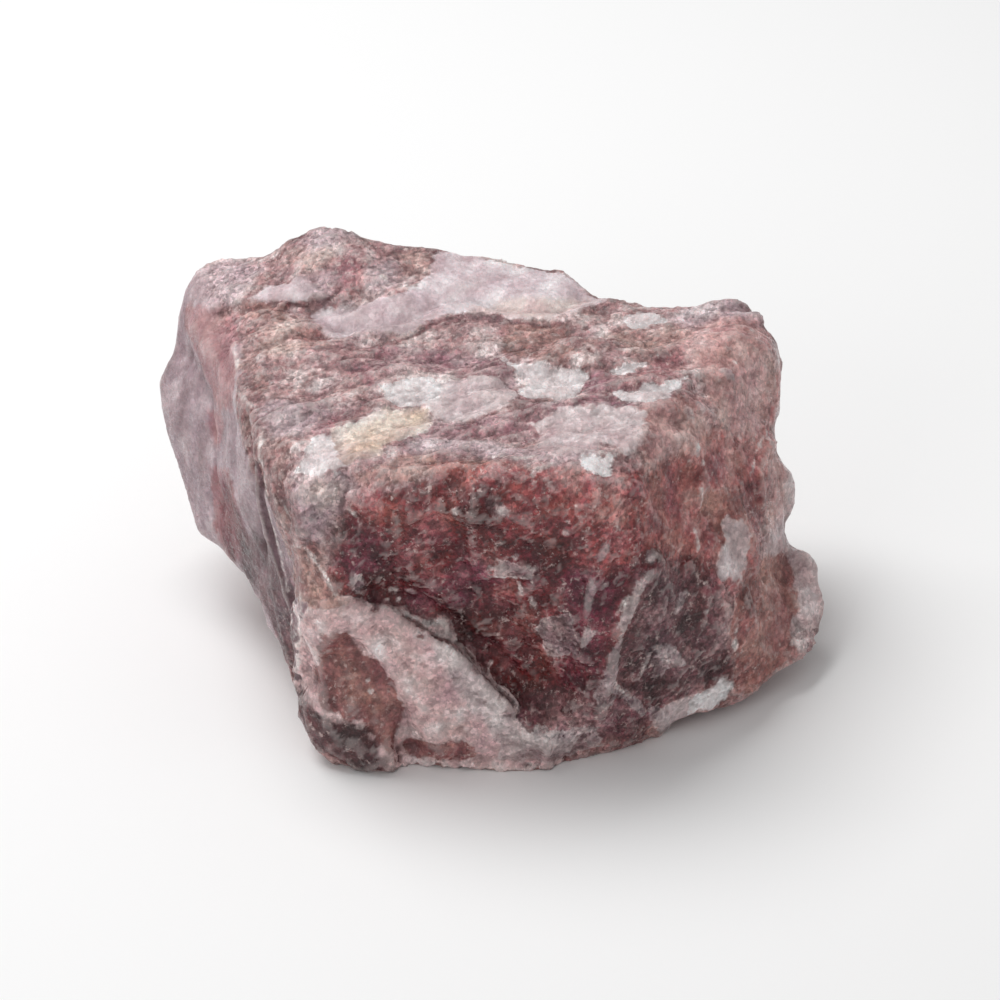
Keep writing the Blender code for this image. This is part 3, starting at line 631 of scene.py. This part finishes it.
leaning = add(relief, "ShaderNodeMath", {
    0: add(relief, "ShaderNodeVectorMath", {0: facet_lean, 1: from_middle},
           operation="DOT_PRODUCT").outputs["Value"],
    1: given["Facet tilt"]}, operation="MULTIPLY").outputs[0]
facet_push = add(relief, "ShaderNodeMath", {
    0: add(relief, "ShaderNodeSeparateXYZ", {0: facet_lean}).outputs["Z"],
    1: given["Facet height"], 2: leaning}, operation="MULTIPLY_ADD").outputs[0]
graininess = add(relief, "ShaderNodeTexNoise", {
    "Vector": point, "Detail": 1.0, "Scale": per_mm["Grain size"]}).outputs[0]
grain_push = add(relief, "ShaderNodeMath", {
    0: add(relief, "ShaderNodeMath", {0: graininess, 1: 0.5}, operation="SUBTRACT").outputs[0],
    1: given["Grain height"]}, operation="MULTIPLY").outputs[0]
rough_push = add(relief, "ShaderNodeMath", {
    0: add(relief, "ShaderNodeMath", {0: ledge_push, 1: facet_push}, operation="ADD").outputs[0],
    1: grain_push}, operation="ADD").outputs[0]
smoothness = add(relief, "GeometryNodeInputNamedAttribute", {"Name": "smooth"},
                 data_type="FLOAT").outputs["Attribute"]
roughness_left = add(relief, "ShaderNodeMapRange", {
    "Value": smoothness, "To Min": 1.0, "To Max": ROUGH_KEPT}).outputs[0]
step_push = add(relief, "GeometryNodeInputNamedAttribute", {"Name": "step"},
                data_type="FLOAT").outputs["Attribute"]
push = add(relief, "ShaderNodeMath", {0: rough_push, 1: roughness_left, 2: step_push},
           operation="MULTIPLY_ADD").outputs[0]
offset = add(relief, "ShaderNodeVectorMath", {
    0: add(relief, "GeometryNodeInputNormal").outputs[0],
    "Scale": add(relief, "ShaderNodeMath", {0: push, 1: MM}, operation="MULTIPLY").outputs[0]},
    operation="SCALE").outputs[0]
moved = add(relief, "GeometryNodeSetPosition", {
    "Geometry": given["Geometry"], "Offset": offset}).outputs[0]
rounded = add(relief, "GeometryNodeSetShadeSmooth", {"Geometry": moved}).outputs[0]
real = add(relief, "GeometryNodeRealizeInstances", {"Geometry": rounded}).outputs[0]
painted = add(relief, "GeometryNodeSetMaterial", {
    "Geometry": real, "Material": given["Quartz"]}).outputs[0]
add(relief, "NodeGroupOutput", {"Geometry": painted})


def linear(colour):
    """An sRGB hex colour as the linear colour that shaders take."""
    parts = [int(colour[i:i + 2], 16) / 255.0 for i in (1, 3, 5)]
    return (*[c / 12.92 if c <= 0.04045 else ((c + 0.055) / 1.055) ** 2.4 for c in parts], 1.0)


# Broken vein quartz, full of red iron-oxide flakes. Nothing was done to its surface but the break:
# glassy where it split along a sheet, sugary where it broke across the grains. The light goes a
# millimetre or two into it and comes out rosy.
quartz = bpy.data.materials.new("broken_strawberry_quartz")
quartz.use_nodes = True
look = quartz.node_tree
shader = look.nodes["Principled BSDF"]
DRAWN_OUT = 1.5  # the grains are this much longer from front to back
FINER_WARP = 1.5  # how much finer than the grains the wandering of their borders is
spot = add(look, "ShaderNodeVectorMath", {
    0: add(look, "ShaderNodeTexCoord").outputs["Object"],
    1: (1.0 / MM, 1.0 / (DRAWN_OUT * MM), 1.0 / MM)}, operation="MULTIPLY").outputs[0]
across = add(look, "ShaderNodeVectorMath", {0: spot, 1: SHEET_NORMAL},
             operation="DOT_PRODUCT").outputs["Value"]


def squashed_by(squash, start):
    """Coordinates in millimetres in which a pattern is this much thinner across the sheets."""
    thinner = add(look, "ShaderNodeMath", {0: across, 1: squash - 1.0},
                  operation="MULTIPLY").outputs[0]
    return add(look, "ShaderNodeVectorMath", {
        0: add(look, "ShaderNodeVectorMath", {0: SHEET_NORMAL, "Scale": thinner},
               operation="SCALE").outputs[0], 1: start}, operation="ADD").outputs[0]


def clouds(size, squash, detail, roughness, low, high, shift=0.0):
    """Clouds this many millimetres across, as a number from 0 to 1. The shift keeps two apart."""
    start = add(look, "ShaderNodeVectorMath", {0: spot, 1: (shift, shift, shift)},
                operation="ADD").outputs[0]
    cloudy = add(look, "ShaderNodeTexNoise", {
        "Vector": squashed_by(squash, start), "Scale": 1.0 / size, "Detail": detail,
        "Roughness": roughness}).outputs["Fac"]
    return add(look, "ShaderNodeMapRange", {
        "Value": cloudy, "From Min": low, "From Max": high}).outputs[0]


def grains(size, squash, wander):
    """Cells this many millimetres across, with borders that wander by some part of that."""
    warp = add(look, "ShaderNodeTexNoise", {
        "Vector": spot, "Scale": FINER_WARP / size, "Detail": 2.0}).outputs["Color"]
    warp = add(look, "ShaderNodeVectorMath", {
        0: add(look, "ShaderNodeVectorMath", {0: warp, 1: (0.5, 0.5, 0.5)},
               operation="SUBTRACT").outputs[0], "Scale": 2.0 * wander * size},
        operation="SCALE").outputs[0]
    wandering = add(look, "ShaderNodeVectorMath", {0: spot, 1: warp}, operation="ADD").outputs[0]
    return add(look, "ShaderNodeTexVoronoi", {
        "Vector": squashed_by(squash, wandering), "Scale": 1.0 / size})


# The patterns of its colours: size, squash, detail, roughness, the noise that becomes 0 and the
# noise that becomes 1, and the shift.
patterns = {
    "streaks": clouds(6.5, 1.4, 7.0, 0.70, 0.36, 0.64),
    "mottle": clouds(5.5, 1.2, 7.0, 0.70, 0.36, 0.64, 31.0),
    "soft": clouds(5.0, 1.6, 5.0, 0.58, 0.34, 0.66, 57.0),
    "ragged": clouds(1.6, 1.6, 6.0, 0.70, 0.32, 0.68, 83.0),
}

# Layers of colour, the first one underneath: the mark it covers, how soft and how ragged its
# border is in millimetres, its pattern, its dark, middle and light colours, how much it hides, and
# how white its rim is.
LAYERS = [
    ("flanks", 1.6, 1.6, "mottle", "#542A2C", "#865450", "#BC948E", 0.8, 0),
    ("lens", 0.5, 1.2, "mottle", "#A08486", "#C6B0AE", "#EADEDC", 0.8, 0.2),
    ("tan", 1.2, 0.9, "streaks", "#98726C", "#BE9E96", "#DCC8C0", 0.8, 0),
    ("front", 1.0, 1.2, "mottle", "#440B0D", "#6A2122", "#A2605E", 0.95, 0),
    ("dark", 1.2, 1.2, "mottle", "#2A0709", "#4E1B1C", "#783F3D", 0.8, 0),
    ("mauve", 1.2, 1.4, "mottle", "#442A2E", "#745256", "#AC9292", 0.6, 0),
    ("plum", 1.5, 1.2, "mottle", "#3C0F19", "#662837", "#93555F", 0.75, 0),
    ("rust", 0.6, 0.9, "mottle", "#68473F", "#946E66", "#C09A90", 0.8, 0),
    ("red", 1.3, 1.0, "mottle", "#803B39", "#A85B56", "#CA968E", 0.8, 0),
    ("crimson", 1.0, 1.0, "mottle", "#7E444A", "#A4666A", "#C49692", 0.6, 0),
    # Painted light: the lobes are painted paler where the light passes through them.
    ("lobes", 1.6, 0.7, "mottle", "#967A7C", "#C4ABAB", "#E8DCDC", 0.85, 0),
    ("dusty", 1.2, 1.2, "mottle", "#9A6C69", "#C89A95", "#E2C2BC", 0.85, 0),
    ("crumbly", 0.8, 1.4, "mottle", "#54303A", "#8E6068", "#C4A6A6", 0.7, 0),
    # Painted light: the left end is painted paler where the light passes through it.
    ("left_end", 0.7, 0.5, "soft", "#8A7479", "#A28C92", "#C2B0B4", 0.92, 0),
    ("blush", 0.6, 0.7, "soft", "#8C5A5C", "#A06E6E", "#B68888", 0.8, 0),
    ("dusk", 1.2, 0.6, "soft", "#4E2226", "#6A2D31", "#8C5356", 0.96, 0),
    ("shade", 1.2, 0.7, "soft", "#3E2426", "#59383B", "#7A575A", 0.9, 0),
    ("strip", 0.3, 0.5, "mottle", "#664040", "#8A605C", "#B89A94", 0.85, 0.2),
    ("rosy", 1.0, 0.9, "mottle", "#783A3A", "#AC6862", "#CE9C94", 0.9, 0),
    ("plate", 0.15, 0.7, "soft", "#C29C9E", "#D5B4B2", "#F2E3E2", 0.95, 0.5),
    ("frosty", 0.9, 0.8, "mottle", "#A69496", "#D2C6C4", "#F6EEEC", 0.8, 0),
    ("beige", 0.15, 0.3, "soft", "#8A6460", "#AC847C", "#C2A396", 0.85, 0.3),
    ("brown", 0.30, 0.5, "mottle", "#5A2B29", "#824C47", "#AC7A70", 0.92, 0.2),
    # Painted light: the brown, painted lighter where its side lies in shade.
    ("russet", 0.30, 0.5, "mottle", "#693A36", "#925A53", "#BA887D", 0.92, 0.2),
    ("foot", 0.5, 0.5, "mottle", "#24080B", "#3E1518", "#603032", 0.95, 0),
    ("back_sheet", 0.3, 0.5, "soft", "#BCA2A6", "#D8C6CA", "#F0E8EA", 0.95, 0.2),
    ("haze", 1.2, 1.0, "mottle", "#9C8286", "#BEA6AA", "#E0D0D2", 0.88, 0),
    ("peach", 1.0, 0.7, "soft", "#C6ACA8", "#D6BEB8", "#E8D8D0", 0.8, 0),
    ("grey", 0.4, 0.7, "soft", "#B29698", "#CCB9BA", "#ECE2E2", 0.88, 0.35),
    ("white", 0.2, 0.7, "mottle", "#D0C0C0", "#ECE4E4", "#FEFCFD", 0.95, 0.5),
    ("cream", 0.2, 0.7, "mottle", "#BCA096", "#DAC6BC", "#F0E6DE", 0.95, 0.4),
    ("yellow", 1.0, 0.5, "soft", "#DCB890", "#E8C8A0", "#F2DCB8", 0.28, 0),
    ("veil", 0.5, 0.9, "mottle", "#66464A", "#9A8486", "#CCBEBC", 0.7, 0.45),
    # Painted shadow along the ledges, partly the dark red of their faces.
    ("line_ledge", 0.2, 0.4, "mottle", "#4C2226", "#6C3A3C", "#8C5C5B", 0.8, 0),
    # Painted shade in the groove.
    ("line_groove", 0.25, 0.3, "mottle", "#4C2E34", "#684850", "#85646A", 0.8, 0),
    ("line_pale", 0.35, 1.0, "mottle", "#68525A", "#927C80", "#CABCBC", 0.65, 0.35),
    # Pale splinter edges, partly painted highlight along the ridges and the plate's rim.
    ("line_bright", 0.25, 0.7, "mottle", "#A89494", "#DCD0CC", "#FFFAF8", 0.8, 0),
]
BASE = ("#6E494C", "#A68180", "#E8D9D7")  # of the quartz under the layers
RIM_MM = 0.26  # how far the crushed rim of a layer reaches to each side of its border
RIM = "#FBF3F1"


def shaded(pattern, colours):
    """A pattern turned into its dark, middle and light colours."""
    ramp = add(look, "ShaderNodeValToRGB", {0: patterns[pattern]})
    ramp.color_ramp.elements.new(0.5)
    for stop, hex_colour in zip(ramp.color_ramp.elements, colours):
        stop.color = linear(hex_colour)
    return ramp.outputs[0]


colour = shaded("streaks", BASE)
for mark, soft, ragged, pattern, *colours, hides, rim in LAYERS:
    depth = add(look, "ShaderNodeAttribute", attribute_name=mark).outputs["Fac"]
    border = add(look, "ShaderNodeMath", {
        0: add(look, "ShaderNodeMath", {0: patterns["ragged"], 1: 0.5},
               operation="SUBTRACT").outputs[0], 1: ragged, 2: depth},
        operation="MULTIPLY_ADD").outputs[0]
    cover = add(look, "ShaderNodeMapRange", {
        "Value": border, "From Min": -soft, "From Max": soft, "To Max": hides},
        interpolation_type="SMOOTHSTEP").outputs[0]
    colour = add(look, "ShaderNodeMix", {0: cover, 6: colour, 7: shaded(pattern, colours)},
                 data_type="RGBA").outputs[2]
    if rim:
        edge = add(look, "ShaderNodeMath", {0: border}, operation="ABSOLUTE").outputs[0]
        edge = add(look, "ShaderNodeMapRange", {
            "Value": edge, "From Min": RIM_MM, "From Max": 0.0, "To Max": rim}).outputs[0]
        edge = add(look, "ShaderNodeMath", {0: edge, 1: patterns["mottle"]},
                   operation="MULTIPLY").outputs[0]
        colour = add(look, "ShaderNodeMix", {0: edge, 6: colour, 7: linear(RIM)},
                     data_type="RGBA").outputs[2]

# Rusty here and plum there, and every grain a little lighter or darker than the next. The finest
# grains of the real stone are too small to show, so the small ones here are coarser.
HUES = (0.482, 0.508)  # towards plum and towards rust, where 0.5 changes nothing
CRUMB_SHARE, BIG_SHARE, SMALL_SHARE = 0.62, 0.24, 0.50  # of each size in how light a place is
FEW_LIGHT = 2.0  # the power that leaves few places light
MIDDLE_LIGHT = 0.50  # the lightness that changes nothing
CONTRAST = (1.3, 0.4)  # of the grains where it broke rough, and where it broke smooth
sleek = add(look, "ShaderNodeAttribute", attribute_name="smooth").outputs["Fac"]
rusty = clouds(size=4.2, squash=1.5, detail=4.0, roughness=0.6, low=0.3, high=0.7, shift=17.0)
hue = add(look, "ShaderNodeMapRange", {
    "Value": rusty, "To Min": HUES[0], "To Max": HUES[1]}).outputs[0]
big = grains(size=1.3, squash=1.3, wander=0.35)
small = grains(size=0.42, squash=1.1, wander=0.25)
crumbs = clouds(size=0.8, squash=1.1, detail=5.0, roughness=0.8, low=0.3, high=0.7, shift=5.0)
light = add(look, "ShaderNodeMath", {0: crumbs, 1: CRUMB_SHARE}, operation="MULTIPLY").outputs[0]
for grain, share in ((big, BIG_SHARE), (small, SMALL_SHARE)):
    light = add(look, "ShaderNodeMath", {
        0: add(look, "ShaderNodeSeparateColor", {0: grain.outputs["Color"]}).outputs[0],
        1: share, 2: light}, operation="MULTIPLY_ADD").outputs[0]
light = add(look, "ShaderNodeMath", {0: light, 1: FEW_LIGHT}, operation="POWER").outputs[0]
light = add(look, "ShaderNodeMath", {
    0: add(look, "ShaderNodeMath", {0: light, 1: MIDDLE_LIGHT}, operation="SUBTRACT").outputs[0],
    1: add(look, "ShaderNodeMapRange", {
        "Value": sleek, "To Min": CONTRAST[0], "To Max": CONTRAST[1]}).outputs[0], 2: 1.0},
    operation="MULTIPLY_ADD").outputs[0]
colour = add(look, "ShaderNodeHueSaturation", {
    "Hue": hue, "Value": light, "Color": colour}).outputs[0]

# Frost: crushed grains in swarms, which are partly painted glints, and the thin white edges of torn
# flakes.
FROST = "#DDC3BE"
FROST_LEFT = 0.15  # how much frost a smooth break has, against a rough one
SLEEK_LEAST = 0.4  # how smooth a place is where the frost starts to thin
FLAKE_LEVEL = 0.57  # the noise at which a flake ends
FLAKE_EDGE = (0.014, 0.004)  # how far from there its edge starts to whiten, and is white
frostiness = add(look, "ShaderNodeMapRange", {
    "Value": sleek, "From Min": SLEEK_LEAST, "To Min": 1.0, "To Max": FROST_LEFT}).outputs[0]
crushed_and_glints = clouds(size=0.7, squash=1.1, detail=5.0, roughness=0.7, low=0.57, high=0.66, shift=43.0)
swarms = clouds(size=2.6, squash=1.4, detail=3.0, roughness=0.5, low=0.37, high=0.56, shift=71.0)
flakes = clouds(size=1.6, squash=1.4, detail=3.0, roughness=0.6, low=0.0, high=1.0, shift=29.0)
torn_here = clouds(size=1.3, squash=1.3, detail=3.0, roughness=0.6, low=0.54, high=0.66, shift=7.0)
from_edge = add(look, "ShaderNodeMath", {
    0: add(look, "ShaderNodeMath", {0: flakes, 1: FLAKE_LEVEL}, operation="SUBTRACT").outputs[0]},
    operation="ABSOLUTE").outputs[0]
flake_edges = add(look, "ShaderNodeMapRange", {
    "Value": from_edge, "From Min": FLAKE_EDGE[0], "From Max": FLAKE_EDGE[1]}).outputs[0]
for frost, swarm, most in ((crushed_and_glints, swarms, 0.8), (flake_edges, torn_here, 0.6)):
    for factor in (frostiness, most):
        swarm = add(look, "ShaderNodeMath", {0: swarm, 1: factor}, operation="MULTIPLY").outputs[0]
    frost = add(look, "ShaderNodeMath", {0: frost, 1: swarm}, operation="MULTIPLY").outputs[0]
    colour = add(look, "ShaderNodeMix", {0: frost, 6: colour, 7: linear(FROST)},
                 data_type="RGBA").outputs[2]

# Painted light: proud crests are painted paler, a painted highlight along the edges, and the hollows
# are painted darker, painted shade.
PAINTED_LIGHT_SPAN = (0.15, 0.95)  # how proud or sunk a place is where that starts, and where it is full
crest_light_hollow_shade = add(look, "ShaderNodeAttribute", attribute_name="crest_light_hollow_shade").outputs["Fac"]
for side, most, tint in ((1.0, 0.24, "#E5D8D5"), (-1.0, 0.4, "#472528")):
    worn = add(look, "ShaderNodeMapRange", {
        "Value": crest_light_hollow_shade, "From Min": side * PAINTED_LIGHT_SPAN[0], "From Max": side * PAINTED_LIGHT_SPAN[1],
        "To Max": most}).outputs[0]
    colour = add(look, "ShaderNodeMix", {0: worn, 6: colour, 7: linear(tint)},
                 data_type="RGBA").outputs[2]

look.links.new(colour, shader.inputs["Base Color"])
shader.inputs["IOR"].default_value = 1.544  # of quartz
shader.inputs["Specular IOR Level"].default_value = 0.36  # crushed grains scatter the rest of it
shader.inputs["Subsurface Weight"].default_value = 0.2
shader.inputs["Subsurface Radius"].default_value = (1.0, 0.55, 0.5)
shader.inputs["Subsurface Scale"].default_value = 1.2 * MM

# Each small grain has its own gloss, and the grains lean this way and that where it broke rough.
GLOSS = (0.14, 0.6)  # roughness of a glassy grain and of a dull one
BIG_LEAN, SMALL_LEAN = 0.22, 0.4  # how far grains lean, as parts of a normal
CRUMB_STRENGTH = 0.7  # how much of the crumbs' slope the light sees
CRUMB_MM = 0.10  # how high the crumbs stand
gloss = add(look, "ShaderNodeMapRange", {
    "Value": add(look, "ShaderNodeSeparateColor", {0: small.outputs["Color"]}).outputs[2],
    "To Min": GLOSS[0], "To Max": GLOSS[1]}).outputs[0]
look.links.new(gloss, shader.inputs["Roughness"])
coarse = add(look, "ShaderNodeMapRange", {
    "Value": sleek, "To Min": 1.0, "To Max": ROUGH_KEPT}).outputs[0]
facing = add(look, "ShaderNodeBump", {
    "Height": crumbs, "Strength": CRUMB_STRENGTH, "Distance": CRUMB_MM * MM}).outputs[0]
for grain, lean in ((big, BIG_LEAN), (small, SMALL_LEAN)):
    off = add(look, "ShaderNodeVectorMath", {0: grain.outputs["Color"], 1: (0.5, 0.5, 0.5)},
              operation="SUBTRACT").outputs[0]
    by = add(look, "ShaderNodeMath", {0: coarse, 1: lean}, operation="MULTIPLY").outputs[0]
    facing = add(look, "ShaderNodeVectorMath", {
        0: add(look, "ShaderNodeVectorMath", {0: off, "Scale": by}, operation="SCALE").outputs[0],
        1: facing}, operation="ADD").outputs[0]
facing = add(look, "ShaderNodeVectorMath", {0: facing}, operation="NORMALIZE").outputs[0]
look.links.new(facing, shader.inputs["Normal"])

# The relief is worked out once, and the result is a plain mesh.
carving = stone.modifiers.new("relief", "NODES")
carving.node_group = relief
relief_values = {**RELIEF_INPUTS, "Quartz": quartz}
for socket in relief.interface.items_tree:
    if socket.in_out == "INPUT" and socket.name in relief_values:
        carving[socket.identifier] = relief_values[socket.name]
body = bpy.data.meshes.new_from_object(
    stone.evaluated_get(bpy.context.evaluated_depsgraph_get()))
stone.modifiers.clear()
stone.data = body
for vertex in body.vertices:
    vertex.co.z = max(vertex.co.z, 0.0)  # its resting flat stays flat

# How proud or sunk each point lies against the surface round it, which the painted highlight on the
# crests and the painted shade in the hollows follow.
AVERAGING_PASSES = 3  # how many times what lies round a point is averaged
FULL_PROUD_MM = 0.10  # how proud a point is whose crest is painted fully pale
body_places, body_facings = places_and_facings(body)
edges = np.empty(len(body.edges) * 2, int)
body.edges.foreach_get("vertices", edges)
edges = edges.reshape(-1, 2)
count = np.bincount(edges.ravel(), minlength=len(body_places))[:, None]
round_about = body_places
for _ in range(AVERAGING_PASSES):
    total = np.zeros_like(body_places)
    np.add.at(total, edges[:, 0], round_about[edges[:, 1]])
    np.add.at(total, edges[:, 1], round_about[edges[:, 0]])
    round_about = total / count
proud = ((body_places - round_about) * body_facings).sum(axis=1)
keep(body, "crest_light_hollow_shade", np.clip(proud / FULL_PROUD_MM, -1.0, 1.0))

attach(stone, "root")
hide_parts(STONE)

# ---- Floor
# A sheet of white studio paper that the stone lies on. It is uncoated paper, so it is matt and
# gives no reflection, and it is laid flat and wide enough to have no edge in sight.

PAPER_SIDE = 4.0  # metres
paper = bpy.data.materials.new("white_paper")
paper.use_nodes = True
matt = paper.node_tree.nodes["Principled BSDF"]
matt.inputs["Base Color"].default_value = linear("#F7F7F7")
matt.inputs["Roughness"].default_value = 0.9
bpy.ops.mesh.primitive_plane_add(size=PAPER_SIDE)
floor = bpy.context.object
floor.name = "floor"
floor.data.materials.append(paper)

# ---- Light
# A big square soft box hangs overhead, a little behind the stone and to the left, and a smaller,
# weaker one stands in front. The room is white all round and fills the shadows.

LAMPS = {  # place and side in metres, power in watts
    "overhead": ((-0.22, 0.16, 0.55), 0.40, 2.75),
    "front": ((-0.35, -0.6, 0.35), 0.25, 0.6),
}
LAMP_AIM = Vector((0.0, 0.0, 0.02))
ROOM_LIGHT = 0.41
for name, (at, size, power) in LAMPS.items():
    lamp = bpy.data.lights.new(name, "AREA")
    lamp.size, lamp.energy = size, power
    soft_box = bpy.data.objects.new(name, lamp)
    soft_box.location = at
    soft_box.rotation_euler = (LAMP_AIM - soft_box.location).to_track_quat("-Z", "Y").to_euler()
    bpy.context.scene.collection.objects.link(soft_box)
world = bpy.data.worlds.new("white_room")
world.use_nodes = True
room = world.node_tree.nodes["Background"]
room.inputs["Color"].default_value = (1.0, 1.0, 1.0, 1.0)
room.inputs["Strength"].default_value = ROOM_LIGHT
bpy.context.scene.world = world
bpy.context.scene.view_settings.view_transform = "Standard"

# ---- Camera
# The long lens that the stone's markings were placed through. It stands about half a metre off,
# level from side to side, and looks 30 degrees down on the broad dark face.

NEAREST, FARTHEST = 0.01, 10.0  # metres from the lens that are drawn
lens = bpy.data.cameras.new("camera")
lens.lens, lens.sensor_width = LENS, SENSOR
lens.clip_start, lens.clip_end = NEAREST, FARTHEST
camera = bpy.data.objects.new("camera", lens)
camera.location = (AIM_MM + TO_EYE * EYE_DISTANCE_MM) * MM
camera.rotation_euler = (-TO_EYE).to_track_quat("-Z", "Y").to_euler()
bpy.context.scene.collection.objects.link(camera)
bpy.context.scene.camera = camera
